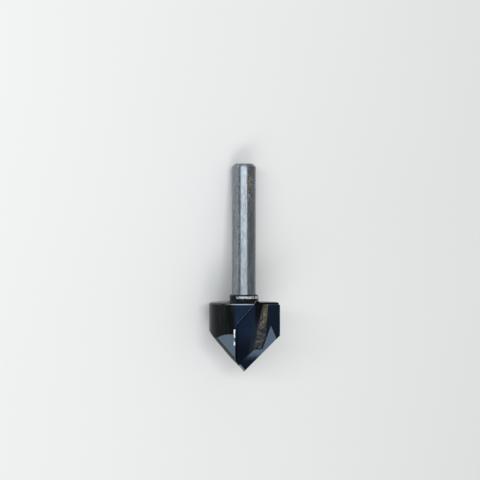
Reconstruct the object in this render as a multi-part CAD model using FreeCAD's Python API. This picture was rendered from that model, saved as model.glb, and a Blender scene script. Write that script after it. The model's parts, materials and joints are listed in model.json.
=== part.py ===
import FreeCAD, Part
import math, os

# V-groove router bit with one carbide cutting plate, lying on a flat surface.
# All lengths are millimetres, all angles degrees.
#
# The bit is first built along its own axis: point at the origin, shank towards +Z, cutting
# edge towards +X, gullet and rake face towards -Y. It is then laid down the way it comes to
# rest. An azimuth is measured from the cutting edge round towards the gullet.

Vec = FreeCAD.Vector

# Shank and neck
shank_diameter = 6.35
shank_length = 34.4
shank_chamfer = 0.8
neck_diameter = 7.6
neck_height = 2.1
neck_chamfer = 0.3
neck_fillet = 0.8

# Cutting profile
cutter_diameter = 19.0
point_angle = 90.0
side_height = 8.8

# Head of the steel body, kept inside the cutting profile
body_clearance = 0.3
cone_setback = 0.15
rim_chamfer = 0.3

# Gullet: an upright wall beside the axis, then a slanted wall that breaks out through the rim
gullet_wall = 2.3
gullet_exit = 2.8
gullet_slant = 41.0
gullet_bend = 5.0
gullet_fillet = 2.9
heel_rounding = 0.25

# Carbide plate
plate_thickness = 1.8
plate_side_width = 3.2
plate_side_taper = 0.6
plate_band_width = 2.2
plate_top_gap = 0.7
edge_clearance = 12.0
side_clearance = 10.0
point_bevel = 36.0
point_bevel_tilt = 30.0

# Braze between plate and body
braze_film = 0.15
braze_top_width = 1.3
braze_foot_width = 1.5
braze_foot_height = 7.2
braze_rounding = 1.0

# Ground relief flats: azimuth, height where the flat runs out on the side, height of its foot
heel_flat = (113.0, 10.3, 3.2)
side_flat = (180.0, 11.0, 3.4)
back_flat = (236.0, 10.9, 3.0)
land_flat = (300.0, 10.3, 2.6)

# How the bit lies: densities in g/cm3, and a few degrees of roll that friction holds
steel_density = 7.85
carbide_density = 14.8
braze_density = 8.6
rest_roll = -3.0

# Derived sizes
cutter_radius = cutter_diameter / 2
shank_radius = shank_diameter / 2
neck_radius = neck_diameter / 2
body_radius = cutter_radius - body_clearance
edge_slope = math.tan(math.radians(point_angle / 2))
corner_height = cutter_radius / edge_slope
rim_height = corner_height + side_height
neck_top = rim_height + neck_height
overall = neck_top + shank_length
reach = 2 * cutter_diameter


def prism(points, front, back):
    """Solid with the given X-Z outline between the planes y = front and y = back."""
    outline = Part.makePolygon([Vec(x, front, z) for x, z in points + points[:1]])
    return Part.Face(outline).extrude(Vec(0, back - front, 0))


def turned(points):
    """Solid of revolution about Z from a closed outline of radius and height."""
    outline = Part.makePolygon([Vec(r, 0, z) for r, z in points + points[:1]])
    return Part.Face(outline).revolve(Vec(0, 0, 0), Vec(0, 0, 1), 360)


def edges_near(solid, test):
    """Edges whose middle point satisfies the test."""
    chosen = []
    for edge in solid.Edges:
        middle = edge.valueAt((edge.FirstParameter + edge.LastParameter) / 2)
        if test(middle):
            chosen.append(edge)
    return chosen


def turned_blank():
    """Head, neck and shank as they leave the lathe."""
    head = turned([
        (0, cone_setback),
        (body_radius, body_radius / edge_slope + cone_setback),
        (body_radius, rim_height - rim_chamfer),
        (body_radius - rim_chamfer, rim_height),
        (0, rim_height),
    ])
    stem = turned([
        (0, rim_height),
        (neck_radius, rim_height),
        (neck_radius, neck_top - neck_chamfer),
        (neck_radius - neck_chamfer, neck_top),
        (shank_radius, neck_top),
        (shank_radius, overall - shank_chamfer),
        (shank_radius - shank_chamfer, overall),
        (0, overall),
    ])
    blank = head.fuse(stem).removeSplitter()
    foot = edges_near(blank, lambda p: abs(p.z - rim_height) < 0.01
                      and abs(math.hypot(p.x, p.y) - neck_radius) < 0.01)
    return blank.makeFillet(neck_fillet, foot)


def gullet():
    """Volume milled away in front of the rake face."""
    slope = math.tan(math.radians(gullet_slant))
    bend_height = rim_height - (gullet_exit + gullet_wall) / slope
    top = rim_height + 2 * neck_height
    block = prism([
        (-gullet_wall, -reach),
        (-gullet_wall, bend_height),
        (gullet_exit + (top - rim_height) * slope, top),
        (reach, top),
        (reach, -reach),
    ], 0, -reach)
    bend = edges_near(block, lambda p: abs(p.x + gullet_wall) < 0.01
                      and abs(p.z - bend_height) < 0.01)
    block = block.makeFillet(gullet_bend, bend)

    def on_wall(p):
        wall = max(-gullet_wall, gullet_exit + (p.z - rim_height) * slope)
        return abs(p.y) < 0.01 and p.x < wall + 2.0 and p.z < top - 0.1
    return block.makeFillet(gullet_fillet, edges_near(block, on_wall))


def on_heel(p):
    """True on the long edge between the gullet wall and the side of the head."""
    at_side = abs(math.hypot(p.x, p.y) - body_radius) < 0.01
    return at_side and p.x < gullet_exit and p.z < rim_height - rim_chamfer - 0.01


def relief_flat(azimuth, top, foot):
    """Everything outside one ground flat on the point of the body."""
    low = Vec((foot - cone_setback) * edge_slope, 0, foot)
    high = Vec(body_radius, 0, top)
    along = (high - low).normalize() * reach
    outward = Vec(along.z, 0, -along.x)
    corners = [low - along, high + along, high + along + outward, low - along + outward]
    block = prism([(p.x, p.z) for p in corners], -reach, reach)
    block.rotate(Vec(0, 0, 0), Vec(0, 0, 1), -azimuth)
    return block


def edge_relief():
    """Everything outside the plane ground behind the slanted cutting edge."""
    block = Part.makeBox(reach, 2 * reach, 2 * reach, Vec(0, -reach, -reach))
    block.rotate(Vec(0, 0, 0), Vec(0, 0, 1), -edge_clearance)
    block.rotate(Vec(0, 0, 0), Vec(0, 1, 0), point_angle / 2)
    return block


def side_relief():
    """Everything outside the plane ground behind the upright cutting edge."""
    block = Part.makeBox(reach, 2 * reach, 2 * reach, Vec(cutter_radius, -reach, -reach))
    block.rotate(Vec(cutter_radius, 0, 0), Vec(0, 0, 1), -side_clearance)
    return block


def point_relief():
    """Everything outside the small bevel on the far side of the point."""
    block = Part.makeBox(reach, 2 * reach, 2 * reach, Vec(-reach, -reach, -reach))
    block.rotate(Vec(0, 0, 0), Vec(0, 0, 1), point_bevel_tilt)
    block.rotate(Vec(0, 0, 0), Vec(0, 1, 0), -point_bevel)
    return block


def band_height(x, gap=0.0):
    """Height at x of the plate's inner edge along the point, moved inwards by a gap."""
    rise = (plate_band_width + gap) * math.sqrt(1 + 1 / edge_slope ** 2)
    return rise + x / edge_slope


def plate_outline():
    """Outline of the carbide plate, its two outer sides left long for grinding."""
    inner = cutter_radius - plate_side_width
    knee = inner - plate_side_taper
    return [
        (-cutter_radius, band_height(-cutter_radius)),
        (knee, band_height(knee)),
        (inner, rim_height - plate_top_gap),
        (reach, rim_height - plate_top_gap),
        (reach, -reach),
        (-cutter_radius, -reach),
    ]


def pocket_outline():
    """Outline of the milled pocket: the plate with room for the braze round it."""
    top = rim_height - plate_top_gap + braze_film
    foot = (braze_foot_height - band_height(0)) * edge_slope - braze_foot_width
    return [
        (-cutter_radius, band_height(-cutter_radius, braze_film)),
        (foot, band_height(foot, braze_film)),
        (foot, braze_foot_height),
        (cutter_radius - plate_side_width - braze_top_width, top),
        (reach, top),
        (reach, -reach),
        (-cutter_radius, -reach),
    ]


def pocket():
    """Milled pocket that takes the plate and its braze."""
    block = prism(pocket_outline(), -reach, plate_thickness + braze_film)
    foot_left, foot_height = pocket_outline()[2]
    corner = edges_near(block, lambda p: abs(p.x - foot_left) < 0.01
                        and abs(p.z - foot_height) < 0.01)
    return block.makeFillet(braze_rounding, corner)


def ground_blank():
    """Turned blank after the gullet is milled and the point relieved."""
    blank = turned_blank().cut(gullet())
    blank = blank.makeFillet(heel_rounding, edges_near(blank, on_heel))
    for flat in (heel_flat, side_flat, back_flat, land_flat):
        blank = blank.cut(relief_flat(*flat))
    return blank.cut(edge_relief())


def carbide_plate():
    """Brazed plate, ground to the cutting profile with clearance behind its edges."""
    profile = turned([
        (0, 0),
        (cutter_radius, corner_height),
        (cutter_radius, overall),
        (0, overall),
    ])
    plate = prism(plate_outline(), 0, plate_thickness).common(profile)
    return plate.cut(edge_relief()).cut(side_relief()).cut(point_relief())


def main_solid(shape):
    """Largest solid of a boolean result."""
    return max(shape.Solids, key=lambda solid: solid.Volume)


def build():
    """The three pieces in the frame of the bit."""
    blank = ground_blank()
    space = pocket()
    room = prism(plate_outline(), -reach, plate_thickness)
    return {
        "steel_body": main_solid(blank.cut(space)),
        "carbide_tip": main_solid(carbide_plate()),
        "braze_joint": main_solid(blank.common(space).cut(room)),
    }


def centre_of_mass(pieces):
    """Centre of mass of the whole bit."""
    density = {"steel_body": steel_density, "carbide_tip": carbide_density,
               "braze_joint": braze_density}
    weights = {name: density[name] * solid.Volume for name, solid in pieces.items()}
    total = Vec(0, 0, 0)
    for name, solid in pieces.items():
        total += solid.CenterOfMass * weights[name]
    return total / sum(weights.values())


def lay_down(pieces):
    """Roll the heavy side down, lean on the rim and the shank end, and centre the result."""
    centre = centre_of_mass(pieces)
    roll = 90 - math.degrees(math.atan2(centre.y, centre.x)) + rest_roll
    run = overall - shank_chamfer - (rim_height - rim_chamfer)
    lean = math.degrees(math.atan2(body_radius - shank_radius, run))
    for solid in pieces.values():
        solid.rotate(Vec(0, 0, 0), Vec(0, 0, 1), roll)
        solid.rotate(Vec(0, 0, 0), Vec(1, 0, 0), -90 - lean)
    box = Part.makeCompound(list(pieces.values())).optimalBoundingBox()
    shift = Vec(-box.Center.x, -box.Center.y, -box.ZMin)
    for solid in pieces.values():
        solid.translate(shift)


pieces = build()
lay_down(pieces)
os.makedirs("parts", exist_ok=True)
for name, solid in pieces.items():
    solid.exportStep("parts/" + name + ".step")
    print(name, "volume", round(solid.Volume, 1), "mm3", "valid", solid.isValid())
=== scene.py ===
# %% [markdown]
# # A V-groove router bit with one carbide cutting plate
#
# The real object is a small milling tool. A round steel bar is turned to a thin shank, a
# short neck and a thick head, the head is milled away on one side so that chips can leave
# the cut, and a carbide plate is brazed on with brass-coloured metal. The packed model
# already holds these three pieces at their real size. This lesson gives them their finishes,
# adds the braze that ran out over the carbide, and sets up a table, lamps and a camera.

# %% Load the packed pieces
import json
import math

import bpy
from mathutils import Matrix, Vector, noise


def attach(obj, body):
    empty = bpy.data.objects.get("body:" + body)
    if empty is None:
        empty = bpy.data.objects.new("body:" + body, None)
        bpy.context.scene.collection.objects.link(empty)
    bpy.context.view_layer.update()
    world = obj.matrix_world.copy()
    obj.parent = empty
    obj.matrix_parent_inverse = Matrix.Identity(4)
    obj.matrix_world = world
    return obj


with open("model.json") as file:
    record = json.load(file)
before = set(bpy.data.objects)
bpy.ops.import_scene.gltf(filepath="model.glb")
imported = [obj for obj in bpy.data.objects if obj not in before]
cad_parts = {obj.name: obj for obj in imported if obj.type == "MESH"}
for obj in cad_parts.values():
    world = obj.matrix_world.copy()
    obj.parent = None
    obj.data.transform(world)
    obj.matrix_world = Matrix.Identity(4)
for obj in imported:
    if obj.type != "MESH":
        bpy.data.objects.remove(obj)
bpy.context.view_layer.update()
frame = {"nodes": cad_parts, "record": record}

MM = 0.001
body, plate, braze = (frame["nodes"][n] for n in ("steel_body", "carbide_tip", "braze_joint"))
print("pieces:", body.name, plate.name, braze.name)

# %% [markdown]
# ## The bit's own directions
#
# The bit lies tilted on the table, on the rim of its head and the end of its shank. Its
# finishes follow the bit and not the table: grinding lines run round the shank and colour
# changes at the neck. So three directions are measured first. `along` points from the
# cutting point to the shank's end, `across` points at the corner of the cutting edge, and
# `behind` points away from the open side. They could be typed in as numbers, but measured
# ones stay right if the model is laid down differently.

# %% Measure the bit's own directions
pin = frame["record"]["mounts"][0]
along = Vector(pin["axis"]).normalized()
centre_line = Vector(pin["pos_m"])


def height_of(point):
    """How far along the bit a point lies, counted from the middle of the shank."""
    return (point - centre_line).dot(along)


corners = [v.co.copy() for v in plate.data.vertices]
lowest = min(height_of(c) for c in corners)
tip = centre_line + along * lowest
sideways = [c - centre_line - along * height_of(c) for c in corners]
across = max(sideways, key=lambda s: s.length).normalized()
behind = along.cross(across)
print("cutting point at", [round(v / MM, 2) for v in tip], "mm")


def on_bit(x, y, z):
    """A place in the scene from millimetres across, behind and along the bit."""
    return tip + MM * (x * across + y * behind + z * along)


# %% [markdown]
# ## The camera
#
# The photograph looks straight at the open side of the head with the shank upright in the
# picture. The bit really lies down, so the camera looks down on it from the same side. A
# camera can be turned by angles, but here its own axes are known: its right is `across`,
# its up is `along`, and it looks in the direction `behind`. A matrix with these three as
# columns turns it exactly. The lens is long, because the photograph shows the round rim
# almost as a straight line. The lengths here are millimetres.

# %% Place the camera
VIEW_DISTANCE = 420
FRAME_WIDTH = 126.5
SENSOR_WIDTH = 36
AIM_ACROSS, AIM_ALONG = -1.05, 34.73

lens_data = bpy.data.cameras.new("camera")
camera = bpy.data.objects.new("camera", lens_data)
bpy.context.scene.collection.objects.link(camera)
bpy.context.scene.camera = camera
lens_data.sensor_width = SENSOR_WIDTH
lens_data.lens = SENSOR_WIDTH * VIEW_DISTANCE / FRAME_WIDTH
lens_data.clip_start = 10 * MM
turn = Matrix((across, along, -behind)).transposed().to_4x4()
camera.matrix_world = Matrix.Translation(on_bit(AIM_ACROSS, -VIEW_DISTANCE, AIM_ALONG)) @ turn
print("lens", round(lens_data.lens, 1), "mm")

# %% [markdown]
# ## A short way to write node trees
#
# Every finish below is a tree of shader nodes. Such a tree can be laid out by hand in the
# shader editor, but written in a script each node takes several lines. This small class adds
# a node, fills its sockets and returns the output that is needed. A value may be a number, a
# colour or the output of another node.


# %% A node tree
class Tree:
    """The node tree of a new material."""

    def __init__(self, name):
        self.material = bpy.data.materials.new(name)
        self.material.use_nodes = True
        self.tree = self.material.node_tree
        self.tree.nodes.clear()

    def node(self, kind, sockets=None, **settings):
        """A new node, with values or the outputs of other nodes in its sockets."""
        made = self.tree.nodes.new("ShaderNode" + kind)
        for name, value in settings.items():
            setattr(made, name, value)
        for name, value in (sockets or {}).items():
            if isinstance(value, bpy.types.NodeSocket):
                self.tree.links.new(value, made.inputs[name])
            else:
                made.inputs[name].default_value = value
        return made

    def math(self, operation, a, b=0.0):
        """The result of one sum with numbers."""
        return self.node("Math", {0: a, 1: b}, operation=operation).outputs[0]

    def vector(self, operation, a, b):
        """The result of one sum with vectors."""
        return self.node("VectorMath", {0: a, 1: b}, operation=operation).outputs["Vector"]

    def dot(self, a, b):
        """How far the vector a reaches in the direction b."""
        made = self.node("VectorMath", {0: a, 1: b}, operation="DOT_PRODUCT")
        return made.outputs["Value"]

    def parts(self, vector):
        """The three numbers that a vector is made of."""
        return self.node("SeparateXYZ", {0: vector}).outputs

    def finish(self, **sockets):
        """The material, once its shader has what it needs."""
        shader = self.node("BsdfPrincipled", sockets)
        output = self.node("OutputMaterial")
        self.tree.links.new(shader.outputs[0], output.inputs[0])
        return self.material


print("a tree can make:", ", ".join(name for name in vars(Tree) if name[0] != "_"))

# %% [markdown]
# ## Masks
#
# A mask is a number that is 1 on one part of a surface and 0 on the rest. Masks could be
# painted by hand on an unwrapped surface. Worked out from a place or a noise they need no
# picture and no unwrapping, and their borders stay sharp however close the camera comes. So
# this class holds the few sums that all the masks below are made of.


# %% Sums for masks
class Masks(Tree):
    """A tree that also knows the sums for masks."""

    def step(self, value, low, high, down=False):
        """0 below low and 1 above high, smooth between them; the other way round with down."""
        ends = {"To Min": 1.0, "To Max": 0.0} if down else {}
        limits = {"Value": value, "From Min": low, "From Max": high}
        made = self.node("MapRange", {**limits, **ends}, interpolation_type="SMOOTHSTEP")
        return made.outputs["Result"]

    def between(self, value, low, high, soft):
        """1 between low and high, with soft borders."""
        return self.both(self.step(value, low - soft, low + soft),
                         self.step(value, high - soft, high + soft, down=True))

    def both(self, *masks):
        """1 where every mask is 1. A plain number among them makes the mask weaker."""
        made, *others = masks
        for mask in others:
            made = self.math("MULTIPLY", made, mask)
        return made

    def either(self, *masks):
        """1 where at least one mask is 1."""
        made, *others = masks
        for mask in others:
            made = self.math("MAXIMUM", made, mask)
        return made

    def waver(self, value, cause, amount):
        """The value, pushed up and down by a noise, by amount in all."""
        push = self.math("MULTIPLY", self.math("SUBTRACT", cause, 0.5), amount)
        return self.math("ADD", value, push)

    def beside(self, x, z, slope, x_at, z_at):
        """How far x lies to the right of a slanted line through x_at and z_at."""
        run = self.math("MULTIPLY", self.math("SUBTRACT", z, z_at), slope)
        return self.math("SUBTRACT", x, self.math("ADD", run, x_at))

    def colour(self, mask, first, second):
        """The first colour where the mask is 0 and the second where it is 1."""
        made = self.node("Mix", {0: mask, 6: first, 7: second}, data_type="RGBA")
        return made.outputs[2]

    def number(self, mask, first, second):
        """The first number where the mask is 0 and the second where it is 1."""
        made = self.node("Mix", {0: mask, 2: first, 3: second}, data_type="FLOAT")
        return made.outputs[0]


print("sums for masks:", ", ".join(name for name in vars(Masks) if name[0] != "_"))

# %% [markdown]
# ## Places on the bit, and noise
#
# The finishes need to know where on the bit a point lies, in millimetres across, behind and
# along it, whichever way the bit is turned. One mapping node turns the scene's own places
# into these. Noise that is read there can be stretched: a small number draws it out in that
# direction, and a large one makes it finer.


# %% Places and noise
class Recipe(Masks):
    """A material whose masks and noise follow the bit's own directions."""

    def place(self, stretch=(1, 1, 1)):
        """Millimetres across, behind and along the bit, each multiplied by its stretch."""
        where = self.node("TexCoord").outputs["Object"]
        turned = Matrix((across, behind, along)).transposed().to_euler()
        own = self.node("Mapping", {"Vector": where, "Location": tip, "Rotation": turned,
                                    "Scale": (MM, MM, MM)}, vector_type="TEXTURE")
        return self.vector("MULTIPLY", own.outputs[0], stretch)

    def noise(self, vector, scale, detail=2.0, rough=0.5):
        """A cloudy number from 0 to 1, finer with a larger scale."""
        made = self.node("TexNoise", {"Vector": vector, "Scale": scale, "Detail": detail,
                                      "Roughness": rough})
        return made.outputs[0]

    def noise_vector(self, vector, scale, amount):
        """A small vector that changes direction from place to place."""
        made = self.node("TexNoise", {"Vector": vector, "Scale": scale})
        middle = self.vector("SUBTRACT", made.outputs["Color"], (0.5, 0.5, 0.5))
        return self.vector("MULTIPLY", middle, (amount, amount, amount))


def grey(level):
    """A grey as a colour socket takes it: red, green, blue and full cover."""
    return (level, level, level, 1.0)


def wear_suit(piece, material):
    """Give a piece one material and no other."""
    piece.data.materials.clear()
    piece.data.materials.append(material)


print("places and noise:", ", ".join(name for name in vars(Recipe) if name[0] != "_"))

# %% [markdown]
# ## The table
#
# The bit lies on a plain white table. One flat square is enough, far larger than the view,
# with a very faint cloudiness so that it isn't a dead flat tone.

# %% Build the table
TABLE_HALF = 1.5
CLOUDS_A_METRE = 9.0
TABLE_TONES = grey(0.86), grey(0.90)
TABLE_ROUGH = 0.7

table_mesh = bpy.data.meshes.new("table")
around = [(-TABLE_HALF, -TABLE_HALF), (TABLE_HALF, -TABLE_HALF),
          (TABLE_HALF, TABLE_HALF), (-TABLE_HALF, TABLE_HALF)]
table_mesh.from_pydata([(x, y, 0) for x, y in around], [], [(0, 1, 2, 3)])
table = bpy.data.objects.new("table", table_mesh)
bpy.context.scene.collection.objects.link(table)

paint = Recipe("table_paint")
cloud = paint.noise(paint.node("TexCoord").outputs["Object"], CLOUDS_A_METRE)
shade = paint.colour(cloud, *TABLE_TONES)
wear_suit(table, paint.finish(**{"Base Color": shade, "Roughness": TABLE_ROUGH}))
print("table", 2 * TABLE_HALF, "m wide")

# %% [markdown]
# ## Lamps
#
# Bright metal shows what is around it more than its own colour, so the lamps matter as much
# as the material. The usual way to light a polished tool is with large soft boxes, each set
# for one surface. A wide flat box near the camera draws the long bright band down the shank;
# it stands a little towards the shank's end, so that flat faces that look straight at the
# camera don't mirror it and stay dark. A second box fills from the point's side, and a low
# one beyond the shank's end draws the thin line on the rim. Each box is placed by two angles
# round the bit, counted from the camera, and its power follows from the brightness that it
# should show.

# %% Place the lamps
LIT_ALONG = 32


def softbox(name, turn, rise, distance, width, height, brightness, colour=(1, 1, 1)):
    """turn: degrees to the right of the camera; rise: degrees towards the shank's end.

    The distance, width and height are metres.
    """
    data = bpy.data.lights.new(name, "AREA")
    data.shape = "RECTANGLE"
    data.size, data.size_y = width, height
    data.energy = brightness * math.pi * width * height
    data.color = colour
    lamp = bpy.data.objects.new(name, data)
    bpy.context.scene.collection.objects.link(lamp)
    turn, rise = math.radians(turn), math.radians(rise)
    level = math.sin(turn) * across - math.cos(turn) * behind
    back = math.cos(rise) * level + math.sin(rise) * along
    side = math.cos(turn) * across + math.sin(turn) * behind
    facing = Matrix((side, back.cross(side), back)).transposed().to_4x4()
    lamp.matrix_world = Matrix.Translation(on_bit(0, 0, LIT_ALONG) + distance * back) @ facing
    print(name, "stands", round(lamp.location.z, 2), "m above the table")


softbox("band_box", turn=-1, rise=11, distance=0.60, width=0.70, height=0.05,
        brightness=19.5, colour=(0.93, 0.97, 0.98))
softbox("point_box", turn=0, rise=-46, distance=0.60, width=0.50, height=0.20, brightness=3.2)
softbox("far_box", turn=-8, rise=74, distance=0.70, width=0.40, height=0.16, brightness=3.0)

# %% [markdown]
# ## The room
#
# A real room sends some light from every side. An even grey world stands for it and keeps
# the shadows open. The standard view transform shows each colour as it is lit, without the
# softer contrast of a film look.

# %% Light the room evenly
ROOM_BRIGHTNESS = 0.40

world = bpy.data.worlds.new("room")
bpy.context.scene.world = world
world.use_nodes = True
room = world.node_tree.nodes["Background"]
room.inputs["Color"].default_value = grey(1.0)
room.inputs["Strength"].default_value = ROOM_BRIGHTNESS

bpy.context.scene.view_settings.view_transform = "Standard"
print("room brightness", ROOM_BRIGHTNESS)

# %% [markdown]
# ## Steel, black coat and ground flats
#
# The body is one piece of steel with three finishes. The shank is ground bright, and the
# wheel leaves very fine lines round it. Neck and head are covered with a thin glossy black
# coat. After coating, flats were ground on the point, and there the grey steel shows again.
# Three materials on three groups of faces would do it, but masks made from the place on the
# bit give finer borders and can fade, so one material holds all three finishes. A flat is
# found by its distance to the plane it was ground to, with the same angles and heights that
# the model was cut with: the azimuth round the bit, the height where the flat runs out on
# the side, and the height of its foot.

# %% Masks for shank and flats
NECK_TOP = 20.4
RIM_ALONG = 18.3
BODY_RADIUS = 9.2
POINT_SETBACK = 0.15
GROUND_FLATS = ((113.0, 10.3, 3.2), (180.0, 11.0, 3.4), (236.0, 10.9, 3.0), (300.0, 10.3, 2.6))
ON_FLAT, OFF_FLAT = 0.015, 0.04


def flat_mask(recipe, azimuth, top, foot):
    """1 on one ground flat, 0 elsewhere."""
    spin = Matrix.Rotation(-math.radians(azimuth), 3, "Z")
    low, high = Vector((foot - POINT_SETBACK, 0, foot)), Vector((BODY_RADIUS, 0, top))
    run = (high - low).normalized()
    normal = spin @ Vector((run.z, 0, -run.x))
    reach = recipe.dot(recipe.place(), normal)
    gap = recipe.math("ABSOLUTE", recipe.math("SUBTRACT", reach, normal.dot(spin @ low)))
    return recipe.step(gap, ON_FLAT, OFF_FLAT, down=True)


steel = Recipe("steel_ground_and_coated")
place = steel.place()
x, y, z = steel.parts(place)
ragged = steel.noise(place, 1.7, 4.0, 0.6)
is_shank = steel.step(steel.waver(z, ragged, 0.35), NECK_TOP - 0.04, NECK_TOP + 0.04)
flat_masks = [flat_mask(steel, *flat) for flat in GROUND_FLATS]
is_flat = steel.either(*flat_masks)
print("ground flats:", len(flat_masks))

# %% [markdown]
# ### The bright shank
#
# Centreless grinding leaves lines that run round the shank. They spread a reflection along
# the bit and keep it narrow across, which gives the long clean band in the photograph. The
# shader has a setting for that, with a direction, which the body gets further down. Here
# come the colour and the roughness: a mottled steel grey, small dark specks and a faint
# tarnish from handling.

# %% Finish of the shank
GRIND_LINES, MOTTLE, TARNISH = (0.8, 0.8, 14.0), (2.0, 2.0, 0.6), (0.5, 0.5, 0.10)
STEEL_TONES = (0.18, 0.205, 0.235, 1), (0.28, 0.31, 0.345, 1)
TARNISH_TONE = (0.15, 0.145, 0.145, 1)
SPECK_TONE = (0.05, 0.05, 0.06, 1)

lines = steel.noise(steel.place(GRIND_LINES), 1.0, 4.0, 0.7)
mottle = steel.step(steel.noise(steel.place(MOTTLE), 1.0, 5.0, 0.65), 0.32, 0.68)
bare = steel.colour(mottle, *STEEL_TONES)
tarnish = steel.step(steel.noise(steel.place(TARNISH), 1.0, 3.0), 0.48, 0.72)
bare = steel.colour(steel.both(tarnish, 0.6), bare, TARNISH_TONE)
specks = steel.step(steel.noise(place, 3.4, 2.0, 0.5), 0.64, 0.70)
bare = steel.colour(steel.both(specks, 0.7), bare, SPECK_TONE)
bare_rough = steel.number(specks, steel.number(lines, 0.25, 0.33), 0.48)
print("nodes with the shank's colour:", len(steel.tree.nodes))

# %% [markdown]
# ### Scuffs on the shank
#
# The collet leaves pale scuffs. In the photograph most of them lie to the right of the
# bright band near the end, on steel that has turned a little brown, and a few lie in a line
# to its left. Both areas are bounded by their place on the bit, and a coarse grit breaks
# them up. They are kept to the open side, since nothing is known of the other one.

# %% Scuffs of the shank
WORN_ACROSS, WORN_ALONG = (1.0, 2.3), (44.5, 53.3)
NICKED_ACROSS, NICKED_ALONG = (-1.7, -1.1), (24.0, 30.0)
GRIT = (2.2, 2.2, 1.3)
BROWN_TONE = (0.19, 0.18, 0.155, 1)
SCUFF_TONE = (0.66, 0.65, 0.60, 1)

open_side = steel.step(y, 0.0, 0.3, down=True)
worn_end = steel.both(steel.between(x, *WORN_ACROSS, 0.3), steel.between(z, *WORN_ALONG, 0.8))
nicked = steel.both(steel.between(x, *NICKED_ACROSS, 0.2), steel.step(z, *NICKED_ALONG))
grit = steel.step(steel.noise(steel.place(GRIT), 1.0, 4.0, 0.7), 0.50, 0.60)
scuffs = steel.both(steel.either(worn_end, steel.both(nicked, 0.6)), grit, open_side, 0.8)
bare = steel.colour(steel.both(worn_end, open_side, 0.6), bare, BROWN_TONE)
bare = steel.colour(scuffs, bare, SCUFF_TONE)
bare_rough = steel.number(scuffs, bare_rough, 0.45)
print("scuffed from", WORN_ALONG[0], "to", WORN_ALONG[1], "mm along the bit")

# %% [markdown]
# ### The black coat
#
# The coat is thin, glossy and almost black. The soft greenish streaks along the side are a
# painted reflection: streaks of noise, drawn out along the bit, which keep the side from
# looking like plastic. A plain black would do from afar.

# %% Finish of the coat
REFLECTION_STREAKS = (1.1, 1.1, 0.10)
COAT_TONES = (0.0015, 0.0022, 0.0030, 1), (0.0035, 0.0050, 0.0060, 1)
REFLECTION_STREAK_TONE = (0.0100, 0.0150, 0.0135, 1)
COAT_ROUGH = 0.14, 0.26

cloud = steel.noise(place, 0.8, 4.0)
# painted reflection: greenish streaks along the side of the glossy coat
reflection_streak = steel.step(steel.noise(steel.place(REFLECTION_STREAKS), 1.0, 4.0, 0.65), 0.48, 0.66)
coat = steel.colour(reflection_streak, steel.colour(cloud, *COAT_TONES), REFLECTION_STREAK_TONE)
coat_rough = steel.number(cloud, *COAT_ROUGH)
print("nodes with the coat's colour:", len(steel.tree.nodes))

# %% [markdown]
# ### The coat inside the gullet
#
# Inside the gullet the coat gets a painted blue reflection, paler towards the rim. A soft
# slanted gleam on the flat wall beside the braze is a painted highlight, and the upper corner
# of that wall is painted shade. All of it is painted by place, so that it stays where it is
# under any lamp.

# %% Colour inside the gullet
HEEL_ACROSS = -2.3
REFLECTED_BLUE_TONES = (0.0040, 0.0120, 0.0300, 1), (0.0100, 0.0240, 0.0520, 1)
REFLECTED_BLUE_FOOT = (0.0015, 0.0045, 0.0120, 1)
GLEAM_HIGHLIGHT_TONE = (0.0120, 0.0190, 0.0300, 1)
GLEAM_SLOPE, GLEAM_ACROSS, GLEAM_ALONG = 0.14, 3.0, 13.0
CORNER_SHADE_TONE = (0.0015, 0.0030, 0.0050, 1)

in_gullet = steel.both(steel.step(x, HEEL_ACROSS - 0.2, HEEL_ACROSS + 0.2),
                       steel.step(y, 0.05, 0.3, down=True),
                       steel.step(z, RIM_ALONG - 0.1, RIM_ALONG + 0.1, down=True))
# painted reflection: blue in the coat, darker at the foot and paler towards the rim
reflected_blue = steel.colour(steel.step(z, 5.0, 11.5), REFLECTED_BLUE_FOOT, steel.colour(cloud, *REFLECTED_BLUE_TONES))
from_gleam = steel.beside(x, z, GLEAM_SLOPE, GLEAM_ACROSS, GLEAM_ALONG)
# painted highlight: a slanted gleam on the flat wall beside the braze
gleam_highlight = steel.both(steel.between(from_gleam, -0.55, 0.55, 0.35),
                   steel.between(z, 4.0, 13.5, 1.0), 0.8)
reflected_blue = steel.colour(gleam_highlight, reflected_blue, GLEAM_HIGHLIGHT_TONE)
# painted shade: the upper corner of the wall is darkened
shaded_corner = steel.both(steel.step(x, 2.7, 3.2), steel.step(z, 11.0, 14.5))
coat = steel.colour(in_gullet, coat, steel.colour(shaded_corner, reflected_blue, CORNER_SHADE_TONE))
print("gullet from", HEEL_ACROSS, "mm across, up to", RIM_ALONG, "mm along")

# %% [markdown]
# ### Painted highlights on the heel
#
# The rounded heel is the long edge between the gullet and the side. Its bright spots and the
# thin line on it are painted highlights. It has no sharp line that a node could find, so the
# masks follow the gullet's wall: a thin line along its slanted part, and spots on its upright
# part. The walls themselves would fit these masks too, so both are kept to the outermost half
# millimetre of the head, by the distance from the axis. On the point they may lie a little
# deeper, because of the flats that are ground there.

# %% Painted highlights on the heel
SLANT, SLANT_ACROSS, SLANT_FROM = 0.869, 2.8, (13.0, 13.6)
LONG_HIGHLIGHT, SHORT_HIGHLIGHT = (9.5, 11.6), (7.2, 8.4)
POINT_DEPTH = 0.7

gaps = steel.noise(place, 1.3, 3.0)
flattened = steel.vector("MULTIPLY", place, (1, 1, 0))
from_axis = steel.node("VectorMath", {0: flattened}, operation="LENGTH").outputs["Value"]
cone = steel.math("SUBTRACT", z, POINT_SETBACK + POINT_DEPTH)
outwards = steel.math("SUBTRACT", from_axis, steel.math("MINIMUM", cone, BODY_RADIUS))
outermost = steel.both(steel.step(outwards, -0.55, -0.40), steel.step(y, -1.5, -1.4, down=True))

# painted highlights: a thin line on the slanted heel and pale spots on the upright heel
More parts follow.
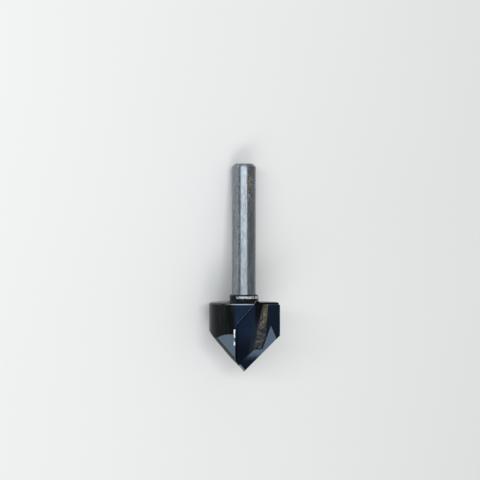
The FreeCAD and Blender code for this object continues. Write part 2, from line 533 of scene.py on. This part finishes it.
from_slant = steel.beside(x, z, SLANT, SLANT_ACROSS, RIM_ALONG)
heel_highlight_line = steel.both(steel.between(from_slant, -0.05, 0.10, 0.03), steel.step(z, *SLANT_FROM),
                       outermost, steel.number(gaps, 0.05, 0.55))
upright = steel.between(steel.waver(x, gaps, 0.5), HEEL_ACROSS - 0.36, HEEL_ACROSS + 0.26, 0.05)
long_highlight = steel.between(z, *LONG_HIGHLIGHT, 0.1)
short_highlight = steel.both(steel.between(z, *SHORT_HIGHLIGHT, 0.2), steel.step(gaps, 0.45, 0.50))
heel_highlights = steel.both(upright, steel.either(long_highlight, short_highlight), outermost)
print("nodes with the worn heel:", len(steel.tree.nodes))

# %% [markdown]
# ### Neck, rim and sharp edges
#
# The ring on the neck is a painted highlight, and so is the faint shiny line on the rim, which
# is painted in the colour of bare metal. On sharp edges such a coat is always thin and rubs
# off, so bare metal glints there in short dashes. The bevel node finds these edges: it gives
# the direction that a rounded edge would face, and where that differs from the true one there
# is an edge. The painted highlights on heel and neck get a pale matt colour, so they show up
# pale even where no lamp is mirrored.

# %% Painted highlights on neck and rim, and worn edges
ON_EDGE, OFF_EDGE = 0.90, 0.985
RING_ACROSS, RING_ALONG = (-1.9, 3.6), (19.35, 19.95)
SHINE_ACROSS, SHINE_ALONG, SHINE_RADIUS = (-3.4, 2.8), (17.98, 18.16), (8.8, 8.9)


def edge_wear_and_glint(recipe, radius, gaps, share, soft=0.08):
    """1 along sharp edges, broken up where the noise called gaps is low."""
    rounded = recipe.node("Bevel", {"Radius": radius * MM}, samples=6).outputs[0]
    same = recipe.dot(rounded, recipe.node("NewGeometry").outputs["Normal"])
    edge = recipe.step(same, ON_EDGE, OFF_EDGE, down=True)
    return recipe.both(edge, recipe.step(gaps, 1 - share - soft, 1 - share + soft))


# painted highlight: a bright ring on the neck
neck_highlight_ring = steel.both(steel.between(z, *RING_ALONG, 0.08), steel.between(x, *RING_ACROSS, 0.4),
                       steel.step(y, 0.0, 0.2, down=True), steel.step(gaps, 0.30, 0.50), 0.7)
painted_highlights = steel.either(heel_highlights, neck_highlight_ring, heel_highlight_line)
# painted highlight: a shiny line on the rim, in the colour of bare metal
rim_highlight = steel.both(steel.between(z, *SHINE_ALONG, 0.03), steel.between(x, *SHINE_ACROSS, 1.6),
                 steel.step(from_axis, *SHINE_RADIUS), 0.9)
outside = steel.math("SUBTRACT", 1.0, in_gullet)
# real wear on sharp edges, together with the painted highlight on the rim
worn_edges_and_rim_highlight = steel.either(steel.both(edge_wear_and_glint(steel, 0.16, gaps, 0.52), outside), rim_highlight)
print("nodes with all worn places:", len(steel.tree.nodes))

# %% [markdown]
# ### The ground flats
#
# A coarse wheel leaves straight marks on the flats, and the steel there is a dull blue grey.
# The one beside the gullet is the cleanest, the others are stained. The coat's burnt edge
# darkens the foot of each flat.

# %% Finish of the flats
WHEEL_MARKS = (5.0, 5.0, 1.2)
CLEAN_TONES = (0.10, 0.140, 0.185, 1), (0.19, 0.245, 0.32, 1)
STAINED_TONES = (0.05, 0.065, 0.085, 1), (0.10, 0.125, 0.155, 1)
BURNT_FOOT = (0.03, 0.04, 0.06, 1)
FLAT_ROUGH = 0.32, 0.46

marks = steel.noise(steel.place(WHEEL_MARKS), 1.0, 5.0, 0.6)
ground = steel.colour(flat_masks[0], steel.colour(marks, *STAINED_TONES),
                      steel.colour(marks, *CLEAN_TONES))
above_foot = steel.step(steel.waver(z, ragged, 1.2), 2.9, 4.6)
ground = steel.colour(above_foot, BURNT_FOOT, ground)
ground_rough = steel.number(marks, *FLAT_ROUGH)
print("nodes with the flats:", len(steel.tree.nodes))

# %% [markdown]
# ### The body put together
#
# The finishes are laid over each other: first the coat with its worn edges and the painted rim
# highlight, then the flats and the bright shank, and the painted highlights of heel and neck
# last. The relief is very fine: the grinding lines are a quarter of a thousandth of a
# millimetre deep, since deeper ones would make the bright band sparkle. The tangent is the
# direction in which the shader spreads a reflection: along the bit, with a slight waver,
# because no grinding is perfect.

# %% Put the body's finish together
RUBBED_AND_RIM_HIGHLIGHT_TONE = (0.62, 0.68, 0.76, 1)
HIGHLIGHT_TONE = (0.82, 0.87, 0.92, 1)
LINE_DEPTH, PATCH_DEPTH = 0.00025, 0.002

colour = steel.colour(worn_edges_and_rim_highlight, coat, RUBBED_AND_RIM_HIGHLIGHT_TONE)
colour = steel.colour(is_flat, colour, ground)
colour = steel.colour(is_shank, colour, bare)
# painted highlights of heel and neck, pale and matt
colour = steel.colour(painted_highlights, colour, HIGHLIGHT_TONE)
metal = steel.number(painted_highlights, steel.either(is_flat, is_shank, worn_edges_and_rim_highlight), 0.2)
rough = steel.number(is_flat, coat_rough, ground_rough)
rough = steel.number(is_shank, rough, bare_rough)
rough = steel.number(painted_highlights, rough, 0.6)

patches = steel.noise(place, 0.9, 4.0, 0.6)
line_relief = steel.node("Bump", {"Height": lines, "Distance": LINE_DEPTH * MM})
soft_relief = steel.node("Bump", {"Height": patches, "Distance": PATCH_DEPTH * MM,
                                  "Normal": line_relief.outputs[0]})
lengthwise = steel.vector("ADD", along, steel.noise_vector(place, 2.0, 0.15))
wear_suit(body, steel.finish(**{
    "Base Color": colour, "Metallic": metal, "Roughness": rough,
    "Normal": soft_relief.outputs[0], "Anisotropic": steel.both(is_shank, 0.85),
    "Tangent": lengthwise, "Specular IOR Level": 0.10}))
print("nodes of the body's finish:", len(steel.tree.nodes))

# %% [markdown]
# ## Carbide plate
#
# Cemented carbide is a dense dark grey metal. Its cutting face is darker on the upper part and
# paler in a zone behind the slanted cutting edge. The border of that zone is two straight
# lines that meet in a peak. Each line is a mask that compares the place across with the place
# it should have at that height, and the two masks are multiplied.

# %% Dark face and pale zone of the carbide
PEAK_ACROSS, PEAK_ALONG = 7.1, 12.1
LEG_LEFT, LEG_RIGHT = 0.36, -0.433
CARBIDE_MARKS = (3.0, 3.0, 0.6)
DARK_FACE_TONES = (0.006, 0.012, 0.026, 1), (0.017, 0.028, 0.050, 1)
PALE_ZONE_TONES = (0.045, 0.066, 0.10, 1), (0.10, 0.13, 0.185, 1)

carbide = Recipe("carbide_ground")
place = carbide.place()
x, _, z = carbide.parts(place)
wheel = carbide.noise(carbide.place(CARBIDE_MARKS), 1.6, 6.0, 0.65)
uneven = carbide.noise(place, 1.2, 4.0, 0.6)


def from_leg(slope):
    """How far a place lies to the right of a leg of the peak, in millimetres."""
    return carbide.waver(carbide.beside(x, z, slope, PEAK_ACROSS, PEAK_ALONG), uneven, 0.3)


right_of_left = carbide.step(from_leg(LEG_LEFT), -0.12, 0.12)
left_of_right = carbide.step(from_leg(LEG_RIGHT), -0.12, 0.12, down=True)
below_braze = carbide.step(carbide.waver(z, uneven, 1.8), 5.7, 6.1, down=True)
above_point = carbide.step(carbide.waver(z, uneven, 1.6), 2.6, 5.2)
in_pale_zone = carbide.both(carbide.either(right_of_left, below_braze), left_of_right, above_point)
face = carbide.colour(in_pale_zone, carbide.colour(wheel, *DARK_FACE_TONES),
                      carbide.colour(wheel, *PALE_ZONE_TONES))
print("peak of the fresh zone at", PEAK_ACROSS, "mm across,", PEAK_ALONG, "mm along")

# %% [markdown]
# ### Edges of the carbide
#
# The slanted cutting edge lies where the places across and along are equal. Painted highlights
# mark it: a glint in dashes, and a pale line along it. The small bevel on the far side of the
# point gets a painted highlight too. It meets the cutting face in a slanted line, so a place
# is measured in the direction square to that line.

# %% Edges of the carbide, and the plate put together
BEVEL_DIRECTION = (0.787, 0.0, 0.617)
EDGE_HIGHLIGHT_TONE = (0.62, 0.66, 0.70, 1)
BEVEL_HIGHLIGHT_TONE = (0.38, 0.38, 0.48, 1)
EDGE_LINE_HIGHLIGHT_TONE = (0.34, 0.40, 0.48, 1)
MARK_DEPTH = 0.002

from_edge = carbide.math("SUBTRACT", z, x)
# painted highlights: dashes and a pale line along the slanted edge, and a pale bevel at the
# point
edge_highlight = carbide.both(edge_wear_and_glint(carbide, 0.10, wheel, 0.75),
                     carbide.step(from_edge, 0.6, 1.0, down=True))
from_bevel = carbide.waver(carbide.dot(place, BEVEL_DIRECTION), uneven, 0.2)
bevel_highlight = carbide.both(carbide.step(from_bevel, 0.38, 0.52, down=True),
                     carbide.between(z, 0.15, 1.8, 0.3))
edge_line_highlight = carbide.both(carbide.step(from_edge, 0.10, 0.24, down=True), carbide.step(z, 0.8, 1.6),
                     carbide.number(wheel, 0.1, 0.7))
for mask, tone in ((edge_highlight, EDGE_HIGHLIGHT_TONE), (bevel_highlight, BEVEL_HIGHLIGHT_TONE), (edge_line_highlight, EDGE_LINE_HIGHLIGHT_TONE)):
    face = carbide.colour(mask, face, tone)
wheel_relief = carbide.node("Bump", {"Height": wheel, "Distance": MARK_DEPTH * MM})
wear_suit(plate, carbide.finish(**{
    "Base Color": face, "Metallic": 1.0, "Normal": wheel_relief.outputs[0],
    "Roughness": carbide.number(in_pale_zone, 0.20, carbide.number(wheel, 0.30, 0.44))}))
print("nodes of the carbide's finish:", len(carbide.tree.nodes))

# %% [markdown]
# ## Braze
#
# The plate is joined with brass-like metal. In the photograph it is a golden strip beside
# the plate, which widens into a dark brown patch where it ran over the carbide. The model
# has the even joint, and what ran out of it is a shape of its own: a thin uneven skin of
# metal with a rounded edge. It is built in rows down the strip. Each row has a left and a
# right end, read from two short tables of heights and places across, and bulges between
# them. A little noise makes the ends and the bulge uneven, as frozen metal is. All lengths
# are millimetres.

# %% Rows of the braze that ran out
RUN_LEFT = ((17.5, 5.25), (15.5, 4.95), (14.2, 4.7), (12.6, 4.0), (11.2, 3.5), (10.0, 3.2),
            (8.6, 2.9), (7.4, 2.8), (6.5, 3.2), (5.9, 4.0))
RUN_RIGHT = ((17.5, 6.2), (15.5, 6.05), (13.7, 5.9), (12.4, 6.05), (11.0, 6.0), (9.5, 5.75),
             (8.4, 5.45), (7.1, 5.1), (6.4, 4.8), (5.9, 4.3))
LEFT_RAGGED, RIGHT_RAGGED = 0.16, 0.12
RUN_THICK, RUN_SUNK = 0.15, 0.04
LEAST_BULGE, USUAL_BULGE, LUMPS = 0.25, 0.8, 0.7
COLUMNS = 18


def read_off(table, height):
    """The place across that a table gives at a height, on straight lines between its rows."""
    for (top, first), (low, second) in zip(table, table[1:]):
        if height >= low:
            return first + (second - first) * (top - height) / (top - low)
    return table[-1][1]


def lumpy(place):
    """A number about 0 that changes smoothly from place to place."""
    return noise.fractal(place, 1.0, 2.0, 4)


def run_row(height):
    """Points of one row: the bulging front from left to right, then the flat back."""
    down_left = Vector((0, 0, height)) * 1.6
    down_right = Vector((0, 0, height)) * 1.4 + Vector((9, 0, 0))
    left = read_off(RUN_LEFT, height) + LEFT_RAGGED * lumpy(down_left)
    right = read_off(RUN_RIGHT, height) + RIGHT_RAGGED * lumpy(down_right)
    front, back = [], []
    for i in range(COLUMNS):
        share = i / (COLUMNS - 1)
        at = left + (right - left) * share
        rounded = 1 - abs(2 * share - 1) ** 3
        lump = LUMPS * lumpy(Vector((at, 3, height)) * 0.9)
        bulge = rounded * max(LEAST_BULGE, USUAL_BULGE + lump)
        front.append(on_bit(at, -RUN_THICK * bulge if bulge > 0 else RUN_SUNK, height))
        back.append(on_bit(at, RUN_SUNK, height))
    return front + back[::-1]


print("points in a row:", len(run_row(RUN_LEFT[0][0])))

# %% [markdown]
# ### The rows joined to a closed skin
#
# Each row is a closed ring of points, and neighbouring rings are joined by four-sided faces.
# One large face closes each end. The skin rides with the bit and wears the braze's material.

# %% Mesh of the braze that ran out
ROWS = 150

run_top, run_foot = RUN_LEFT[0][0], RUN_LEFT[-1][0]
heights = [run_top + (run_foot - run_top) * i / (ROWS - 1) for i in range(ROWS)]
points = [point for height in heights for point in run_row(height)]
ring = 2 * COLUMNS
faces = []
for here in range(0, (ROWS - 1) * ring, ring):
    below = here + ring
    for i in range(ring):
        following = (i + 1) % ring
        faces.append((here + i, here + following, below + following, below + i))
faces.append(tuple(range(ring))[::-1])
faces.append(tuple(range((ROWS - 1) * ring, ROWS * ring)))

run_mesh = bpy.data.meshes.new("braze_run")
run_mesh.from_pydata(points, [], faces)
run_mesh.polygons.foreach_set("use_smooth", [True] * len(faces))
braze_run = bpy.data.objects.new("braze_run", run_mesh)
bpy.context.scene.collection.objects.link(braze_run)
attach(braze_run, "root")
print("braze run:", len(faces), "faces")

# %% [markdown]
# ### Colours of the braze
#
# Near the top the braze kept its dull gold. Further down the torch burnt it brown to nearly
# black, with gold grains left in it. The border is ragged, so the height is disturbed with
# noise before it is compared. The gold also stops at a slanted line on its left side. Below
# the brown patch only a thin dark film shows beside the plate.

# %% Finish of the braze
BURNT_BELOW = 12.8
GOLD_SLOPE, GOLD_ACROSS = 0.175, 4.35
GOLD_TONES = (0.025, 0.025, 0.021, 1), (0.135, 0.122, 0.080, 1)
BURNT_TONES = (0.030, 0.030, 0.034, 1), (0.15, 0.13, 0.085, 1)
DARK_FILM = (0.010, 0.013, 0.020, 1)
BRAZE_ROUGH = 0.28, 0.48
SWELL_DEPTH = 0.02

joint = Recipe("braze_metal")
place = joint.place()
x, _, z = joint.parts(place)
grain = joint.noise(place, 2.6, 5.0, 0.65)
blotch = joint.noise(place, 1.0, 4.0, 0.6)
gold = joint.colour(joint.step(grain, 0.34, 0.62), *GOLD_TONES)
burnt = joint.colour(joint.step(grain, 0.58, 0.68), *BURNT_TONES)
burnt = joint.colour(joint.step(z, 5.4, 6.2), DARK_FILM, burnt)
from_border = joint.beside(joint.waver(x, blotch, 0.5), z, GOLD_SLOPE, GOLD_ACROSS, BURNT_BELOW)
unburnt = joint.step(joint.waver(z, blotch, 2.6), BURNT_BELOW - 0.6, BURNT_BELOW + 0.6)
is_gold = joint.both(joint.step(from_border, -0.06, 0.10), unburnt,
                     joint.step(x, 6.3, 6.5, down=True))
swell = joint.node("Bump", {"Height": grain, "Distance": SWELL_DEPTH * MM})
wear_suit(braze, joint.finish(**{
    "Base Color": joint.colour(is_gold, burnt, gold), "Metallic": 0.9,
    "Roughness": joint.number(grain, *BRAZE_ROUGH), "Normal": swell.outputs[0]}))
wear_suit(braze_run, braze.data.materials[0])
print("nodes of the braze's finish:", len(joint.tree.nodes))

# %% [markdown]
# ## Size
#
# The looks must not change the size of the packed model.
